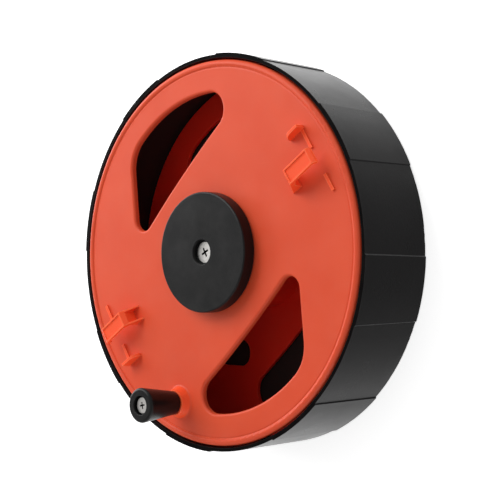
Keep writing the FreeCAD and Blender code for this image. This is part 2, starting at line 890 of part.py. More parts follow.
def cut_strap_top(body, turn, direction):
    """Leaves a raised border round the strap, and a gusset each side of the rising web."""
    width = d.strap_width - d.strap_border * 2
    plane = turned_about_axle(direction, d.strap_shift.value)
    above = d.strap_top + 2.0
    recess = new_sketch(body, f"strap_recess_outline_{turn}", "XZ_Plane", offset=plane)
    draw_outline(recess, [
        (d.strap_shoulder + d.strap_border, d.strap_top - d.strap_recess),
        (d.strap_end - d.strap_thickness, d.strap_top - d.strap_recess),
        (d.strap_end - d.strap_thickness, above),
        (d.strap_shoulder + d.strap_border, above),
    ])
    pocketed(body, f"strap_recess_{turn}", recess, width, midplane=True)
    web = new_sketch(body, f"strap_web_outline_{turn}", "XZ_Plane", offset=plane)
    draw_outline(web, [
        (d.strap_root - 2.0, d.flange_face),
        (d.strap_web, d.flange_face),
        (d.strap_web + 0.9, above),
        (d.strap_root - 2.0, above),
    ])
    pocketed(body, f"strap_web_{turn}", web, width, midplane=True)


def knob_place():
    return d.knob_circle * cosine(d.knob_angle), d.knob_circle * sine(d.knob_angle)


def add_knob_boss(body):
    """Flared cone under the knob, bored for the spindle and its nut."""
    x, y = knob_place()
    cone = body.newObject("PartDesign::AdditiveCone", "knob_boss")
    cone.AttachmentSupport = [(origin_plane(body, "XY_Plane"), "")]
    cone.MapMode = "FlatFace"
    bind(cone, "AttachmentOffset.Base.x", x)
    bind(cone, "AttachmentOffset.Base.y", y)
    bind(cone, "AttachmentOffset.Base.z", d.flange_back + 1.0)
    grow = (d.knob_boss_base_radius - d.knob_boss_radius) / (d.knob_boss_top - d.flange_face)
    bind(cone, "Radius1", d.knob_boss_base_radius
         + grow * (d.flange_face - d.flange_back - 1.0))
    bind(cone, "Radius2", d.knob_boss_radius)
    bind(cone, "Height", d.knob_boss_top - d.flange_back - 1.0)
    doc.recompute()
    seam = (x.value, y.value, d.flange_face.value, d.knob_boss_base_radius.value)

    def at_boss_foot(edge):
        middle = edge.BoundBox.Center
        close = math.hypot(middle.x - seam[0], middle.y - seam[1]) < 0.5
        round_edge = abs(edge.BoundBox.XLength / 2 - seam[3]) < 0.5
        return on_level(edge, seam[2], 0.05) and close and round_edge

    filleted(body, "knob_boss_foot", 2.2, at_boss_foot)
    bores = (("spindle_seat", d.spindle_radius, d.knob_boss_top, d.knob_boss_top - d.knob_seat),
             ("screw_way", d.spindle_bore_radius, d.knob_boss_top, 14.0))
    for name, radius, level, depth in bores:
        sketch = new_sketch(body, f"{name}_outline", "XY_Plane", level)
        draw_circle(sketch, (x, y), radius, name)
        pocketed(body, name, sketch, depth)
    seat = new_sketch(body, "knob_nut_outline", "XY_Plane", d.flange_back)
    draw_hexagon(seat, (x, y), KNOB_NUT_FLATS + NUT_PLAY)
    pocketed(body, "knob_nut_pocket", seat, d.knob_nut_seat - d.flange_back, reverse=True)


def make_rear_flange():
    """Plain disc behind the winding, with the same windows and a rounded feed hole."""
    body = new_body("rear_flange")
    back = d.rear_flange_front - d.rear_flange_thickness
    edge = 1.0
    revolved(body, "disc", [
        (d.rear_flange_hole, back),
        (d.rear_flange_radius - edge, back, edge),
        (d.rear_flange_radius, back + edge),
        (d.rear_flange_radius, d.rear_flange_front - edge, edge),
        (d.rear_flange_radius - edge, d.rear_flange_front),
        (d.rear_flange_hole, d.rear_flange_front),
    ])
    cut_windows(body, d.rear_flange_front, d.rear_flange_thickness, d.rear_flange_front,
                d.rear_window_lip)
    cut_feed_hole(body)
    x, y = post_place()
    holes = new_sketch(body, "screw_hole_outline", "XY_Plane", d.rear_flange_front)
    draw_circle(holes, (x, y), d.core_screw_radius + HOLE_PLAY, "hole")
    hole = pocketed(body, "screw_hole", holes, d.rear_flange_thickness)
    polar_pattern(body, hole, CORE_POSTS, holes)
    cone = body.newObject("PartDesign::SubtractiveCone", "screw_seat")
    cone.AttachmentSupport = [(origin_plane(body, "XY_Plane"), "")]
    cone.MapMode = "FlatFace"
    bind(cone, "AttachmentOffset.Base.x", x)
    bind(cone, "AttachmentOffset.Base.y", y)
    bind(cone, "AttachmentOffset.Base.z", back)
    bind(cone, "Radius1", d.core_screw_head_radius + HOLE_PLAY)
    bind(cone, "Radius2", d.core_screw_radius + HOLE_PLAY)
    bind(cone, "Height", d.core_screw_head_radius - d.core_screw_radius)
    doc.recompute()
    polar_pattern(body, cone, CORE_POSTS, holes)
    return body


def cut_feed_hole(body):
    """Rounded hole beside the core that the tape's inner end is fed through."""
    sketch = new_sketch(body, "feed_hole_outline", "XY_Plane", d.rear_flange_front)
    draw_rounded_rectangle(sketch, (d.feed_hole_x, d.feed_hole_y), d.feed_hole_length / 2,
                           d.feed_hole_width / 2, d.feed_hole_round)
    pocketed(body, "feed_hole", sketch, d.rear_flange_thickness)


def post_place(turn=0):
    """Centre of one of the core's screw posts, turned about the axle from the first."""
    angle = d.core_post_first_angle + turn
    return d.core_post_circle * cosine(angle), d.core_post_circle * sine(angle)


def make_winding_core():
    """Drum that the tape winds on, with a ribbed hub, screw posts and the tape anchor."""
    body = new_body("winding_core")
    bottom, top = d.rear_flange_front, d.flange_back
    drum = new_sketch(body, "drum_outline", "XY_Plane", bottom)
    draw_circle(drum, (0, 0), d.core_radius, "outside")
    draw_circle(drum, (0, 0), d.core_radius - d.core_wall, "inside")
    padded(body, "drum", drum, top - bottom)

    rib = new_sketch(body, "rib_outline", "XY_Plane", d.core_hub_bottom)
    half = d.core_rib_width / 2
    reach = d.core_radius - d.core_wall / 2
    slant = math.sqrt(0.5)
    near, far = d.core_hub_radius - 1.0, reach
    draw_outline(rib, [
        (near * slant + half * slant, near * slant - half * slant),
        (far * slant + half * slant, far * slant - half * slant),
        (far * slant - half * slant, far * slant + half * slant),
        (near * slant - half * slant, near * slant + half * slant),
    ])
    rib_pad = padded(body, "core_rib", rib, top - d.core_hub_bottom)
    polar_pattern(body, rib_pad, CORE_RIBS, rib)

    hub = new_sketch(body, "hub_outline", "XY_Plane", d.core_hub_bottom)
    draw_circle(hub, (0, 0), d.core_hub_radius, "outside")
    draw_circle(hub, (0, 0), d.bush_radius, "inside")
    padded(body, "hub", hub, top - d.core_hub_bottom)

    post = new_sketch(body, "post_outline", "XY_Plane", bottom)
    draw_circle(post, post_place(), d.core_post_radius, "post")
    post_pad = padded(body, "screw_post", post, top - bottom)
    polar_pattern(body, post_pad, CORE_POSTS, post)

    pilot = new_sketch(body, "pilot_outline", "XY_Plane", bottom)
    draw_circle(pilot, post_place(), d.core_screw_radius, "pilot")
    pilot_hole = pocketed(body, "pilot", pilot, top - bottom, reverse=True)
    polar_pattern(body, pilot_hole, CORE_POSTS, pilot)

    anchor = new_sketch(body, "anchor_outline", "XY_Plane", bottom)
    draw_circle(anchor, (d.anchor_circle, 0), d.anchor_post_radius, "anchor")
    padded(body, "anchor_post", anchor, top - bottom)
    pin_hole = new_sketch(body, "anchor_hole_outline", "XY_Plane", bottom)
    draw_circle(pin_hole, (d.anchor_circle, 0), d.anchor_pin_radius, "pin_hole")
    pocketed(body, "anchor_hole", pin_hole, d.anchor_pin_top - bottom, reverse=True)
    slot = new_sketch(body, "anchor_slot_outline", "XY_Plane", d.anchor_slot_bottom)
    half = d.anchor_slot_width / 2
    draw_outline(slot, [
        (d.core_post_circle - 4.0, -half),
        (d.core_radius + 2.0, -half),
        (d.core_radius + 2.0, half),
        (d.core_post_circle - 4.0, half),
    ])
    pocketed(body, "anchor_slot", slot, d.anchor_slot_top - d.anchor_slot_bottom, reverse=True)
    return body


def make_anchor_pin():
    """Pin across the core's slot, which the loop on the tape's inner end goes round."""
    pin = doc.addObject("Part::Cylinder", "anchor_pin")
    pin.Label = "anchor_pin"
    bind(pin, "Radius", d.anchor_pin_radius)
    bind(pin, "Height", d.anchor_pin_top - d.anchor_pin_bottom)
    return pin


def make_bush(label, head_level, faces_up):
    """Headed plain bearing; the head is the thrust face."""
    body = new_body(label)
    bore = d.axle_radius + d.running_clearance
    way = -1 if faces_up else 1
    inner = head_level + d.bush_head_height * way
    far = inner + d.bush_length * way
    revolved(body, "bearing", [
        (bore, head_level),
        (d.bush_head_radius, head_level),
        (d.bush_head_radius, inner),
        (d.bush_radius, inner),
        (d.bush_radius, far),
        (bore, far),
    ])
    return body


# ---------------------------------------------------------------- the knob

def make_crank_knob():
    """Tapered hand knob, free to turn on its spindle."""
    body = new_body("crank_knob")
    bore = d.spindle_radius + d.running_clearance
    foot = 0.5
    revolved(body, "grip", [
        (bore, d.knob_base),
        (d.knob_base_radius - foot, d.knob_base),
        (d.knob_base_radius, d.knob_base + foot),
        (d.knob_front_radius, d.knob_front - d.knob_edge_round, d.knob_edge_round),
        (d.knob_front_radius - d.knob_edge_round, d.knob_front),
        (d.knob_recess_radius, d.knob_front),
        (d.knob_recess_radius, d.knob_recess_floor),
        (bore, d.knob_recess_floor),
    ])
    return body


def make_knob_spindle():
    """Steel tube clamped between the flange's boss and the knob's washer."""
    body = new_body("knob_spindle")
    revolved(body, "tube", [
        (d.spindle_bore_radius, d.knob_seat),
        (d.spindle_radius, d.knob_seat),
        (d.spindle_radius, d.spindle_top),
        (d.spindle_bore_radius, d.spindle_top),
    ])
    return body


def make_knob_washer():
    """Cup washer under the knob screw's head, which keeps the knob on its spindle."""
    body = new_body("knob_washer")
    play = 0.2
    outer = d.knob_recess_radius - 0.4
    seat_top = d.knob_screw_head_radius + play
    revolved(body, "cup", [
        (d.spindle_bore_radius, d.spindle_top),
        (outer, d.spindle_top),
        (outer, d.knob_screw_face - 1.0),
        (seat_top, d.knob_screw_face - 0.3),
        (d.spindle_bore_radius, d.knob_screw_face - 0.3 - seat_top + d.spindle_bore_radius),
    ])
    return body


# ---------------------------------------------------------------- assembly and export

def place_at(piece, x, y, z):
    """Sets a piece that was drawn about its own axis in its place."""
    for axis, size in zip("xyz", (x, y, z)):
        bind(piece, f"Placement.Base.{axis}", size)


def check_bindings():
    """Every bound property must hold the value that part.py worked out for it."""
    for thing, field, value in bindings:
        if field.startswith("Constraints."):
            held = thing.getDatum(field.split(".", 1)[1]).Value
        else:
            held = thing
            for name in field.split("."):
                held = getattr(held, name)
            held = getattr(held, "Value", held)
        if abs(held - value) > 1e-6:
            raise RuntimeError(f"{thing.Label}.{field} is {held}, not {value}")


def make_fixed_pieces(rear_head, front_head):
    """The casing, the axle and what is clamped to them."""
    gap = 0.15
    return [
        make_drum_casing(),
        make_tape_mouth(),
        make_axle_sleeve(),
        make_hub_cap(),
        make_thrust_washer("rear_thrust_washer", d.axle_boss_top, rear_head - gap,
                           d.axle_boss_radius - 3.0),
        make_thrust_washer("front_thrust_washer", front_head + gap, d.axle_top,
                           d.cap_boss_radius - 0.5),
        make_countersunk_screw("centre_screw", d.centre_screw_tip, d.centre_screw_face,
                               d.centre_screw_radius, d.centre_screw_head_radius,
                               d.centre_cross_turn),
        make_nut("centre_nut", d.nut_seat - CENTRE_NUT_HEIGHT, CENTRE_NUT_HEIGHT,
                 CENTRE_NUT_FLATS, d.centre_screw_radius + THREAD_PLAY),
        make_back_plug(),
    ]


def make_turning_pieces(rear_head, front_head):
    """The reel's own pieces, all about the axle."""
    return [
        make_front_flange(),
        make_rear_flange(),
        make_winding_core(),
        make_bush("front_bush", front_head, faces_up=True),
        make_bush("rear_bush", rear_head, faces_up=False),
        make_flange_screws("front_flange_screws", d.flange_face, "Cylinder"),
        make_flange_screws("rear_flange_screws", d.rear_flange_front - d.rear_flange_thickness,
                           "Cone"),
    ]


def make_knob_pieces():
    return [
        make_knob_spindle(),
        make_countersunk_screw("knob_screw", d.knob_screw_tip, d.knob_screw_face,
                               d.knob_screw_radius, d.knob_screw_head_radius,
                               d.knob_cross_turn),
        make_nut("knob_nut", d.knob_nut_seat - KNOB_NUT_HEIGHT, KNOB_NUT_HEIGHT,
                 KNOB_NUT_FLATS, d.knob_screw_radius + THREAD_PLAY),
        make_knob_washer(),
        make_crank_knob(),
    ]


def build():
    """Makes every sub-part in its place."""
    rear_head = d.core_hub_bottom - d.bush_head_height
    front_head = d.flange_face + d.bush_head_height
    on_axle = make_fixed_pieces(rear_head, front_head)
    on_axle += make_turning_pieces(rear_head, front_head)
    for piece in on_axle:
        place_at(piece, 0, 0, 0)
    at_knob = make_knob_pieces()
    for piece in at_knob:
        place_at(piece, *knob_place(), 0)
    anchor_pin = make_anchor_pin()
    place_at(anchor_pin, d.anchor_circle, 0, d.anchor_pin_bottom)
    return [*on_axle, *at_knob, anchor_pin]


def check_objects():
    for item in doc.Objects:
        if "Invalid" in item.State or "Error" in item.State:
            raise RuntimeError(f"{item.Label} failed: {item.State}")


def export(pieces):
    os.makedirs("parts", exist_ok=True)
    for piece in pieces:
        piece.Shape.exportStep(f"parts/{piece.Label}.step")
        box = piece.Shape.optimalBoundingBox()
        print(f"{piece.Label:22s} solids {len(piece.Shape.Solids)} volume {piece.Shape.Volume:10.1f}"
              f"  x {box.XMin:7.2f} {box.XMax:7.2f}  y {box.YMin:7.2f} {box.YMax:7.2f}"
              f"  z {box.ZMin:7.2f} {box.ZMax:7.2f}")


pieces = build()
doc.recompute()
check_bindings()
check_objects()
for piece in pieces:
    if piece.Shape.isNull() or not piece.Shape.isValid():
        raise RuntimeError(f"{piece.Label} has no valid shape")
export(pieces)
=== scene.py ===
import json
import math

import bpy
from mathutils import Matrix, Vector


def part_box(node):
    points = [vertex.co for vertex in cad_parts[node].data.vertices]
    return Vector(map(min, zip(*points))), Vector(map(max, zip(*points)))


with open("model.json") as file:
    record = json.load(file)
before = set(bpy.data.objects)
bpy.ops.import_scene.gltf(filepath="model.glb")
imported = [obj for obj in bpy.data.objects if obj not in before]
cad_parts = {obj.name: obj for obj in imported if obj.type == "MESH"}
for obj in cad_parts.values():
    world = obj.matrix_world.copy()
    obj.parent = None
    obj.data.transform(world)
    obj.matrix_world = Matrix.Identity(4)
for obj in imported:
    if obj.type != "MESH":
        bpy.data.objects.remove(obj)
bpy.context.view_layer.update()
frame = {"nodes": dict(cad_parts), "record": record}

# A hand-cranked tape reel lying on its closed back: +Z is the axle, towards the crank side.
# Everything is in metres.

MM = 0.001
FACE_LEVEL = 70.6 * MM       # the front flange's face
CLIP_REACH = 137 * MM        # the clips and the knob's boss lie within this radius
CASING_INSIDE = 147.4 * MM   # radius just outside the drum's inner wall
FLOOR_SIZE = 16
nodes = frame["nodes"]
scene = bpy.context.scene


# ---------------------------------------------------------------- camera, light and floor

CAMERA_PLACE = Vector((0.79725, -0.01546, 0.84145))
CAMERA_AZIMUTH = math.radians(44.487)      # round +Y, from straight above the crank side
CAMERA_ELEVATION = math.radians(-0.898)
CAMERA_ROLL = math.radians(0.193)
CAMERA_LENS = 105.65                       # millimetres, on a 36 mm sensor


def set_camera():
    """Looks at the crank side from the right, with the reel's +Y at the top of the view."""
    back = Vector((math.sin(CAMERA_AZIMUTH) * math.cos(CAMERA_ELEVATION),
                   math.sin(CAMERA_ELEVATION),
                   math.cos(CAMERA_AZIMUTH) * math.cos(CAMERA_ELEVATION)))
    level_right = Vector((math.cos(CAMERA_AZIMUTH), 0, -math.sin(CAMERA_AZIMUTH)))
    level_up = back.cross(level_right)
    right = level_right * math.cos(CAMERA_ROLL) + level_up * math.sin(CAMERA_ROLL)
    up = level_up * math.cos(CAMERA_ROLL) - level_right * math.sin(CAMERA_ROLL)
    data = bpy.data.cameras.new("camera")
    data.lens = CAMERA_LENS
    data.clip_start, data.clip_end = 0.05, 30.0
    camera = bpy.data.objects.new("camera", data)
    scene.collection.objects.link(camera)
    turn = Matrix((right, up, back)).transposed().to_4x4()
    camera.matrix_world = Matrix.Translation(CAMERA_PLACE) @ turn
    scene.camera = camera


def add_softbox(name, place, width, height, power):
    """Rectangular area light that faces the middle of the reel."""
    data = bpy.data.lights.new(name, "AREA")
    data.shape = "RECTANGLE"
    data.size, data.size_y = width, height
    data.energy = power
    light = bpy.data.objects.new(name, data)
    scene.collection.objects.link(light)
    light.location = place
    light.rotation_euler = (-Vector(place)).to_track_quat("-Z", "Y").to_euler()


def set_light():
    """A pale studio: the main softbox over the far left, a low one at the left, weak fills."""
    world = bpy.data.worlds.new("studio")
    world.use_nodes = True
    background = world.node_tree.nodes["Background"]
    background.inputs["Color"].default_value = (1, 1, 1, 1)
    background.inputs["Strength"].default_value = 0.5
    scene.world = world
    scene.view_settings.view_transform = "Standard"
    add_softbox("main_softbox", (-0.8, 1.1, 1.4), 1.2, 1.2, 20)
    add_softbox("left_softbox", (-1.5, 0.5, 0.55), 1.0, 0.8, 11)
    add_softbox("top_softbox", (0.3, 1.6, 0.4), 1.0, 0.6, 1.5)
    add_softbox("low_softbox", (0.6, -1.5, 0.3), 0.8, 0.6, 4)


def lay_floor():
    """A wide matt floor that gives off some light, so that it reads as white."""
    bpy.ops.mesh.primitive_plane_add(size=FLOOR_SIZE, location=(0, 0, 0))
    floor = bpy.context.object
    floor.name = "floor"
    material = bpy.data.materials.new("pale_floor")
    material.use_nodes = True
    shader = material.node_tree.nodes["Principled BSDF"]
    shader.inputs["Base Color"].default_value = (0.95, 0.95, 0.95, 1)
    shader.inputs["Roughness"].default_value = 0.95
    shader.inputs["Specular IOR Level"].default_value = 0.1
    shader.inputs["Emission Color"].default_value = (1, 1, 1, 1)
    shader.inputs["Emission Strength"].default_value = 0.62
    floor.data.materials.append(material)


# ---------------------------------------------------------------- shared shader groups

def new_group(name, inputs, outputs):
    """An empty shader group with its sockets, and its input and output nodes."""
    group = bpy.data.node_groups.new(name, "ShaderNodeTree")
    for label, kind, value in inputs:
        socket = group.interface.new_socket(label, in_out="INPUT", socket_type=f"NodeSocket{kind}")
        socket.default_value = value
    for label, kind in outputs:
        group.interface.new_socket(label, in_out="OUTPUT", socket_type=f"NodeSocket{kind}")
    return group, group.nodes.new("NodeGroupInput"), group.nodes.new("NodeGroupOutput")


def add_math(tree, operation, *terms):
    """A Math node; each term is a number or a socket. Returns its output."""
    node = tree.nodes.new("ShaderNodeMath")
    node.operation = operation
    for socket, term in zip(node.inputs, terms):
        if isinstance(term, (int, float)):
            socket.default_value = term
        else:
            tree.links.new(term, socket)
    return node.outputs[0]


def add_noise(tree, place, scale, detail, roughness=0.5):
    """A Noise texture at a place; the scale is a number or a socket. Returns its value."""
    node = tree.nodes.new("ShaderNodeTexNoise")
    node.inputs["Detail"].default_value = detail
    node.inputs["Roughness"].default_value = roughness
    tree.links.new(place, node.inputs["Vector"])
    if isinstance(scale, (int, float)):
        node.inputs["Scale"].default_value = scale
    else:
        tree.links.new(scale, node.inputs["Scale"])
    return node.outputs["Fac"]


def add_ramp(tree, value, start, end):
    """Straight ramp, held at its ends: 0 at start and 1 at end, which may be the lower."""
    node = tree.nodes.new("ShaderNodeMapRange")
    node.clamp = True
    node.inputs["From Min"].default_value = start
    node.inputs["From Max"].default_value = end
    tree.links.new(value, node.inputs["Value"])
    return node.outputs["Result"]


def object_place(tree):
    """Where a point is on its piece, in the frame that all pieces share at rest."""
    return tree.nodes.new("ShaderNodeTexCoord").outputs["Object"]


def height_above_back(tree):
    """How high a point is over the plane of the closed back."""
    parts = tree.nodes.new("ShaderNodeSeparateXYZ")
    tree.links.new(object_place(tree), parts.inputs["Vector"])
    return parts.outputs["Z"]


def axle_distance(tree):
    """How far a point is from the axle's line."""
    place = tree.nodes.new("ShaderNodeVectorMath")
    place.operation = "MULTIPLY"
    place.inputs[1].default_value = (1.0, 1.0, 0.0)
    tree.links.new(object_place(tree), place.inputs[0])
    length = tree.nodes.new("ShaderNodeVectorMath")
    length.operation = "LENGTH"
    tree.links.new(place.outputs["Vector"], length.inputs[0])
    return length.outputs["Value"]


def make_moulded_grain():
    """The spark-eroded grain that a mould leaves: fine pits with a slower unevenness."""
    group, given, out = new_group(
        "moulded_grain",
        [("Scale", "Float", 1500.0)],
        [("Height", "Float"), ("Unevenness", "Float")])
    place = object_place(group)
    fine = add_noise(group, place, given.outputs["Scale"], 2.0, 0.6)
    pits = group.nodes.new("ShaderNodeTexVoronoi")
    pits.feature = "SMOOTH_F1"
    group.links.new(place, pits.inputs["Vector"])
    group.links.new(add_math(group, "MULTIPLY", given.outputs["Scale"], 0.6), pits.inputs["Scale"])
    slow = add_noise(group, place, 26.0, 3.0)
    pitted = add_math(group, "ADD", fine, pits.outputs["Distance"])
    group.links.new(add_math(group, "ADD", pitted, add_math(group, "MULTIPLY", slow, 0.8)),
                    out.inputs["Height"])
    group.links.new(add_ramp(group, slow, 0.35, 0.65), out.inputs["Unevenness"])
    return group


def make_edge_mask():
    """1 along edges and 0 on open faces, broken up a little."""
    group, given, out = new_group(
        "edge_mask",
        [("Width", "Float", 0.0004)],
        [("Mask", "Float")])
    bevel = group.nodes.new("ShaderNodeBevel")
    bevel.samples = 6
    group.links.new(given.outputs["Width"], bevel.inputs["Radius"])
    geometry = group.nodes.new("ShaderNodeNewGeometry")
    dot = group.nodes.new("ShaderNodeVectorMath")
    dot.operation = "DOT_PRODUCT"
    group.links.new(bevel.outputs["Normal"], dot.inputs[0])
    group.links.new(geometry.outputs["Normal"], dot.inputs[1])
    turned = add_math(group, "SUBTRACT", 1.0, dot.outputs["Value"])
    edge = add_ramp(group, turned, 0.01, 0.12)
    patchy = add_ramp(group, add_noise(group, object_place(group), 160.0, 3.0), 0.3, 0.6)
    kept = add_math(group, "ADD", add_math(group, "MULTIPLY", patchy, 0.5), 0.5)
    group.links.new(add_math(group, "MULTIPLY", edge, kept), out.inputs["Mask"])
    return group


def make_settled_dust():
    """A thin film of dust, thickest on faces that look up."""
    group, given, out = new_group(
        "settled_dust",
        [("Amount", "Float", 0.1)],
        [("Mask", "Float")])
    geometry = group.nodes.new("ShaderNodeNewGeometry")
    parts = group.nodes.new("ShaderNodeSeparateXYZ")
    group.links.new(geometry.outputs["Normal"], parts.inputs["Vector"])
    upward = add_ramp(group, parts.outputs["Z"], 0.2, 1.0)
    patchy = add_ramp(group, add_noise(group, object_place(group), 55.0, 5.0, 0.65), 0.4, 0.75)
    lying = add_math(group, "MULTIPLY", upward, patchy)
    group.links.new(add_math(group, "MULTIPLY", lying, given.outputs["Amount"]),
                    out.inputs["Mask"])
    return group


def make_hairline_scuffs():
    """Sparse fine scratches of handling, in two directions."""
    group, given, out = new_group(
        "hairline_scuffs",
        [("Amount", "Float", 0.5)],
        [("Mask", "Float")])
    place = object_place(group)
    total = None
    for angle in (0.4, 2.0):
        turn = group.nodes.new("ShaderNodeMapping")
        turn.inputs["Rotation"].default_value = (0.3, 0.2, angle)
        turn.inputs["Scale"].default_value = (1.0, 28.0, 28.0)
        group.links.new(place, turn.inputs["Vector"])
        lines = add_ramp(group, add_noise(group, turn.outputs["Vector"], 34.0, 2.0), 0.69, 0.75)
        total = lines if total is None else add_math(group, "MAXIMUM", total, lines)
    patches = add_ramp(group, add_noise(group, place, 18.0, 2.0), 0.5, 0.65)
    shown = add_math(group, "MULTIPLY", total, patches)
    group.links.new(add_math(group, "MULTIPLY", shown, given.outputs["Amount"]),
                    out.inputs["Mask"])
    return group


def make_turned_lines():
    """Fine rings left by turning, round an axis parallel to Z through Centre."""
    group, given, out = new_group(
        "turned_lines",
        [("Centre", "Vector", (0.0, 0.0, 0.0)), ("Scale", "Float", 2500.0)],
        [("Height", "Float")])
    offset = group.nodes.new("ShaderNodeVectorMath")
    offset.operation = "SUBTRACT"
    group.links.new(object_place(group), offset.inputs[0])
    group.links.new(given.outputs["Centre"], offset.inputs[1])
    parts = group.nodes.new("ShaderNodeSeparateXYZ")
    group.links.new(offset.outputs["Vector"], parts.inputs["Vector"])
    x_squared = add_math(group, "MULTIPLY", parts.outputs["X"], parts.outputs["X"])
    y_squared = add_math(group, "MULTIPLY", parts.outputs["Y"], parts.outputs["Y"])
    radius = add_math(group, "SQRT", add_math(group, "ADD", x_squared, y_squared))
    along = group.nodes.new("ShaderNodeCombineXYZ")
    group.links.new(radius, along.inputs["X"])
    group.links.new(add_math(group, "MULTIPLY", parts.outputs["Z"], 0.4), along.inputs["Y"])
    group.links.new(add_noise(group, along.outputs["Vector"], given.outputs["Scale"], 2.0),
                    out.inputs["Height"])
    return group


moulded_grain = make_moulded_grain()
edge_mask = make_edge_mask()
settled_dust = make_settled_dust()
hairline_scuffs = make_hairline_scuffs()
turned_lines = make_turned_lines()


# ---------------------------------------------------------------- materials

DUST = (0.42, 0.4, 0.37)
# Painted shade for the screws' recesses.
RECESS_PAINTED_SHADE = (0.03, 0.028, 0.026)
# Painted light: the colour of the casing's inside, paler and a little red.
PAINTED_INSIDE_LIGHT = (0.04, 0.026, 0.024)
# Painted light on the clips: a painted glow on their tops and painted highlights along their edges.
CLIP_PAINTED_GLOW = (0.98, 0.1, 0.028)
CLIP_EDGE_PAINTED_HIGHLIGHT = (1.0, 0.22, 0.09)
ZINC = ((0.78, 0.76, 0.73), (0.68, 0.66, 0.63), 0.34)      # colour, stain, roughness
COLOUR_A, COLOUR_B, COLOUR_RESULT = 6, 7, 2                # a Mix node's sockets for colours


def use_group(tree, group, **values):
    """Places a shared group in a material, with its own values."""
    node = tree.nodes.new("ShaderNodeGroup")
    node.node_tree = group
    for label, value in values.items():
        node.inputs[label].default_value = value
    return node


def add_mix(tree, mask, under, over):
    """Colour mix; under and over are colours or sockets."""
    node = tree.nodes.new("ShaderNodeMix")
    node.data_type = "RGBA"
    tree.links.new(mask, node.inputs["Factor"])
    for socket, term in zip((node.inputs[COLOUR_A], node.inputs[COLOUR_B]), (under, over)):
        if isinstance(term, tuple):
            socket.default_value = (*term, 1)
        else:
            tree.links.new(term, socket)
    return node.outputs[COLOUR_RESULT]


def blend_value(tree, mask, low, high):
    """Low where the mask is 0, high where it is 1."""
    return add_math(tree, "ADD", add_math(tree, "MULTIPLY", mask, high - low), low)


def new_material(name):
    """A node material, its tree and its Principled shader."""
    material = bpy.data.materials.new(name)
    material.use_nodes = True
    tree = material.node_tree
    return material, tree, tree.nodes["Principled BSDF"]


def add_bump(tree, shader, height, distance):
    """Raises the surface's grain: distance is the relief, in metres, from height 0 to 1."""
    bump = tree.nodes.new("ShaderNodeBump")
    bump.inputs["Distance"].default_value = distance
    tree.links.new(height, bump.inputs["Height"])
    tree.links.new(bump.outputs["Normal"], shader.inputs["Normal"])


def paint_over(tree, shader, mask, over):
    """Mixes one more colour over what already feeds the shader's Base Color."""
    base = shader.inputs["Base Color"]
    under = base.links[0].from_socket
    tree.links.new(add_mix(tree, mask, under, over), base)


def moulded_plastic(name, body, deep, edge, roughness, grain, depth, gloss, dust, scuff=0.35,
                    graze=0.0):
    """Injection-moulded plastic: body colour clouded towards deep, with paler edges.

    Gloss is its specular level, and graze what that gains where it is seen at a low angle."""
    material, tree, shader = new_material(name)
    grained = use_group(tree, moulded_grain, Scale=grain)
    edges = use_group(tree, edge_mask, Width=0.0005)
    dusty = use_group(tree, settled_dust, Amount=dust)
    scuffed = use_group(tree, hairline_scuffs, Amount=scuff)
    clouded = add_mix(tree, grained.outputs["Unevenness"], deep, body)
    worn = add_math(tree, "MAXIMUM", edges.outputs["Mask"],
                    add_math(tree, "MULTIPLY", scuffed.outputs["Mask"], 0.5))
    edged = add_mix(tree, worn, clouded, edge)
    tree.links.new(add_mix(tree, dusty.outputs["Mask"], edged, DUST), shader.inputs["Base Color"])
    uneven = blend_value(tree, grained.outputs["Unevenness"], roughness - 0.03, roughness + 0.03)
    rubbed = add_math(tree, "SUBTRACT", uneven, add_math(tree, "MULTIPLY", worn, 0.08))
    tree.links.new(rubbed, shader.inputs["Roughness"])
    level = shader.inputs["Specular IOR Level"]
    level.default_value = gloss + graze / 3      # stays if a reader drops the link below
    if graze:
        facing = tree.nodes.new("ShaderNodeLayerWeight").outputs["Facing"]
        slanted = add_math(tree, "POWER", facing, 3.0)
        tree.links.new(blend_value(tree, slanted, gloss, gloss + graze), level)
    add_bump(tree, shader, grained.outputs["Height"], depth)
    return material, shader


def make_black_casing():
    """The casing's grained black, with a little dust; its inside is painted paler and a little red,
    as painted light that reaches inside the reel.
    """
    material, shader = moulded_plastic(
        "black_casing", body=(0.0046, 0.0041, 0.0043), deep=(0.0037, 0.0033, 0.0035),
        edge=(0.03, 0.03, 0.031), roughness=0.3, grain=1400.0, depth=0.00005, gloss=0.0, dust=0.01,
        graze=0.75)
    tree = material.node_tree
    # Painted light: within the drum's inner wall the black is painted paler.
    inside = add_ramp(tree, axle_distance(tree), CASING_INSIDE, CASING_INSIDE - 0.5 * MM)
    paint_over(tree, shader, inside, PAINTED_INSIDE_LIGHT)
    return material


def make_black_satin():
    """The cap's and the knob's smoother black."""
    return moulded_plastic("black_satin", body=(0.007, 0.0068, 0.0072), deep=(0.005, 0.005, 0.0052),
                           edge=(0.06, 0.06, 0.06), roughness=0.34, grain=2600.0,
                           depth=0.00003, gloss=0.2, dust=0.02)[0]


def make_black_fitting():
    """The small black pieces: the mouth's frame, the back plug and the knob's washer."""
    return moulded_plastic("black_fitting", body=(0.008, 0.008, 0.0085), deep=(0.006, 0.006, 0.0065),
                           edge=(0.03, 0.03, 0.03), roughness=0.45, grain=1800.0,
                           depth=0.00005, gloss=0.35, dust=0.02)[0]


def let_light_in(shader, weight):
    """Slightly see-through: light carries into thin tongues and edges, reddest furthest in."""
    shader.inputs["Subsurface Weight"].default_value = weight
    shader.inputs["Subsurface Radius"].default_value = (1.0, 0.25, 0.1)
    shader.inputs["Subsurface Scale"].default_value = 0.003


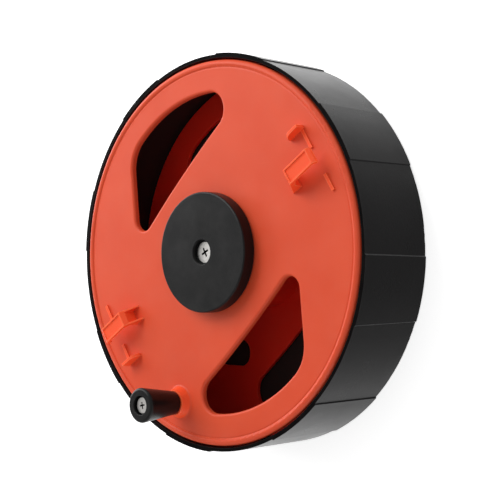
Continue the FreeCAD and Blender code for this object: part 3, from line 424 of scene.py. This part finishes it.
def make_orange_plastic():
    """The front flange's plastic; its thin raised clips are painted a brighter orange with paler
    edges: a painted glow and painted edge highlights for light through the thin plastic.
    """
    material, shader = moulded_plastic(
        "orange_plastic", body=(0.77, 0.09, 0.034), deep=(0.74, 0.081, 0.03),
        edge=(1.0, 0.2, 0.085), roughness=0.42, grain=2200.0, depth=0.00003, gloss=0.2, dust=0.02,
        scuff=0.2)
    let_light_in(shader, 0.12)
    tree = material.node_tree
    # Painted glow: the raised clips inside the bead are painted brighter, with painted highlights
    # along their edges.
    raised = add_ramp(tree, height_above_back(tree), FACE_LEVEL + 0.3 * MM, FACE_LEVEL + 1.3 * MM)
    inside_bead = add_ramp(tree, axle_distance(tree), CLIP_REACH, CLIP_REACH - 3 * MM)
    edges = use_group(tree, edge_mask, Width=0.0012)
    painted_glow = add_mix(tree, edges.outputs["Mask"], CLIP_PAINTED_GLOW, CLIP_EDGE_PAINTED_HIGHLIGHT)
    paint_over(tree, shader, add_math(tree, "MULTIPLY", raised, inside_bead), painted_glow)
    return material


def make_orange_painted_shade():
    """The same plastic inside the reel, painted a deeper red: a shaded copy of the orange, as
    painted shade where little light reaches it.
    """
    material, shader = moulded_plastic(
        "orange_painted_shade", body=(1.0, 0.032, 0.013), deep=(0.95, 0.028, 0.011),
        edge=(0.8, 0.09, 0.035), roughness=0.45, grain=2200.0, depth=0.00003, gloss=0.25, dust=0.01,
        scuff=0.1)
    let_light_in(shader, 0.1)
    return material


def make_turned_metal(name, colour, stain, roughness, centre=(0, 0, 0), face=None):
    """Metal with fine turned rings round its own axis and a faint uneven tarnish.

    A screw's face height, where one is given, paints everything below it dark: painted shade in the
    recess under the face."""
    material, tree, shader = new_material(name)
    lines = use_group(tree, turned_lines, Centre=centre, Scale=3000.0)
    grained = use_group(tree, moulded_grain, Scale=900.0)
    scuffed = use_group(tree, hairline_scuffs, Amount=0.6)
    tarnished = add_mix(tree, grained.outputs["Unevenness"], stain, colour)
    if face is not None:
        # Painted shade: below the screw's face the metal is painted dark.
        out_of_painted_shade = add_ramp(tree, height_above_back(tree), face - 0.9 * MM, face - 0.15 * MM)
        tarnished = add_mix(tree, out_of_painted_shade, RECESS_PAINTED_SHADE, tarnished)
    tree.links.new(tarnished, shader.inputs["Base Color"])
    streaked = blend_value(tree, lines.outputs["Height"], roughness - 0.08, roughness + 0.1)
    scratched = add_math(tree, "MULTIPLY", scuffed.outputs["Mask"], 0.15)
    tree.links.new(add_math(tree, "ADD", streaked, scratched), shader.inputs["Roughness"])
    shader.inputs["Metallic"].default_value = 1.0
    add_bump(tree, shader, lines.outputs["Height"], 0.00002)
    return material


def make_white_acetal():
    """The thrust washers' slippery white."""
    return moulded_plastic("white_acetal", body=(0.8, 0.8, 0.76), deep=(0.74, 0.74, 0.69),
                           edge=(0.85, 0.85, 0.82), roughness=0.35, grain=1500.0,
                           depth=0.00002, gloss=0.5, dust=0.02)[0]


def knob_axis():
    """The point where the knob's axis meets the plane of the back."""
    low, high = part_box("knob_spindle")
    return ((low.x + high.x) / 2, (low.y + high.y) / 2, 0.0)


materials = {
    "black_casing": make_black_casing(),
    "black_satin": make_black_satin(),
    "black_fitting": make_black_fitting(),
    "orange_plastic": make_orange_plastic(),
    "orange_painted_shade": make_orange_painted_shade(),
    "zinc_steel": make_turned_metal("zinc_steel", *ZINC),
    # The face heights below give painted shade in the screws' recesses.
    "centre_steel_painted_shade": make_turned_metal("centre_steel_painted_shade", *ZINC, face=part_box("centre_screw")[1].z),
    "knob_steel_painted_shade": make_turned_metal("knob_steel_painted_shade", *ZINC, centre=knob_axis(),
                                    face=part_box("knob_screw")[1].z),
    "white_acetal": make_white_acetal(),
    "bronze": make_turned_metal("bronze", (0.55, 0.34, 0.14), (0.42, 0.25, 0.1), 0.38),
}


# ---------------------------------------------------------------- the CAD nodes

OWN_MATERIALS = {                # nodes whose finish differs from that of their slot
    # Steel painted dark below its screw's face: painted shade in the recesses.
    "centre_screw": "centre_steel_painted_shade",
    "knob_screw": "knob_steel_painted_shade",
    "knob_spindle": "knob_steel_painted_shade",
    "knob_nut": "knob_steel_painted_shade",
    # A painted-shade copy of the orange for the pieces deep inside the reel.
    "rear_flange": "orange_painted_shade",
    "winding_core": "orange_painted_shade",
}

SMALL_ROUND = 0.1 * MM           # for a node that is not listed below
EDGE_ROUNDS = {
    "drum_casing": 0.35 * MM,
    "front_flange": 0.35 * MM,
    "rear_flange": 0.3 * MM,
    "tape_mouth": 0.5 * MM,
    "hub_cap": 0.4 * MM,
    "crank_knob": 0.3 * MM,
    "winding_core": 0.4 * MM,
}
SHARP_EDGE = math.radians(32)
SEAM_GAP = 0.001 * MM            # points nearer than this become one


def round_edges(thing, width):
    """Joins the mesh along its seams, then rounds every sharp edge."""
    weld = thing.modifiers.new("joined_seams", "WELD")
    weld.merge_threshold = SEAM_GAP
    bevel = thing.modifiers.new("rounded_edges", "BEVEL")
    bevel.width = width
    bevel.segments = 2
    bevel.limit_method = "ANGLE"
    bevel.angle_limit = SHARP_EDGE
    bevel.use_clamp_overlap = True
    normals = thing.modifiers.new("even_normals", "WEIGHTED_NORMAL")
    normals.keep_sharp = True


def finish_cad_nodes():
    """Gives each CAD node its own material or that of its slot, and rounds its edges a little."""
    slots = {part["node"]: part["material_slot"] for part in frame["record"]["subparts"]}
    for name, thing in nodes.items():
        thing.data.materials.clear()
        thing.data.materials.append(materials[OWN_MATERIALS.get(name, slots[name])])
        round_edges(thing, EDGE_ROUNDS.get(name, SMALL_ROUND))


set_camera()
set_light()
lay_floor()
finish_cad_nodes()
